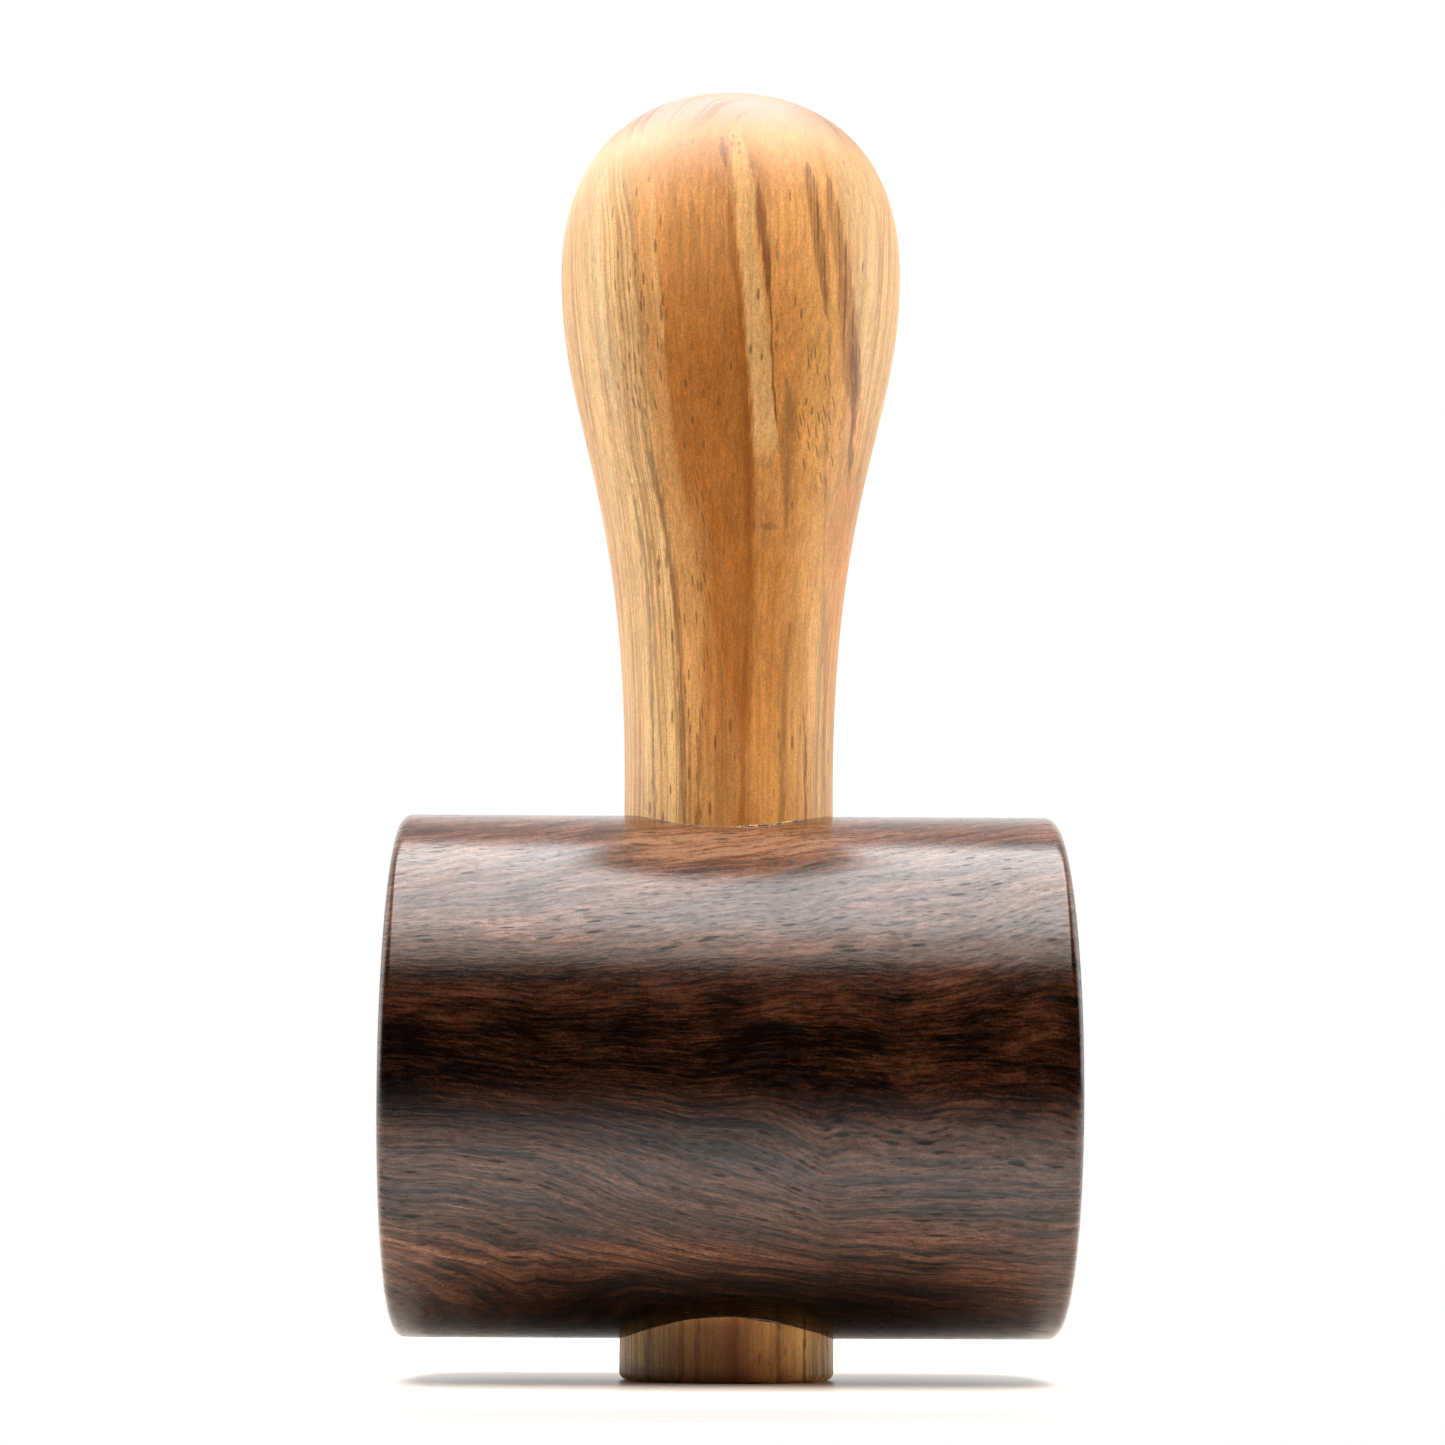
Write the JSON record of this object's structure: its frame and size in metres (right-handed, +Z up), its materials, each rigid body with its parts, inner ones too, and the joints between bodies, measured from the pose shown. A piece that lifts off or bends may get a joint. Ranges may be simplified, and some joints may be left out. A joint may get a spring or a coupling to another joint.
{
  "type": "wooden mallet",
  "caption": "Turned wooden mallet: a dark round head bored across its grain, and a light handle that swells to a knob and passes right through it.",
  "frame": {"origin": "the middle of the tenon's flat end, which the mallet stands on", "axes": "+Z up the handle towards the knob, +X along the head towards one striking face, +Y completes the right-handed frame, across the head"},
  "size_m": [0.0984, 0.078, 0.1978],
  "materials": {
    "head_wood": "dark figured hardwood such as rosewood or walnut, oiled and burnished to a semi-gloss",
    "handle_wood": "honey-coloured hardwood with cream and brown streaks, oiled to a satin",
    "wedge_wood": "dark hardwood offcut, end grain showing, sanded flush and oiled"
  },
  "bodies": {
    "root": {"head": "head_wood", "handle": "handle_wood", "wedge": "wedge_wood"}
  },
  "joints": []
}
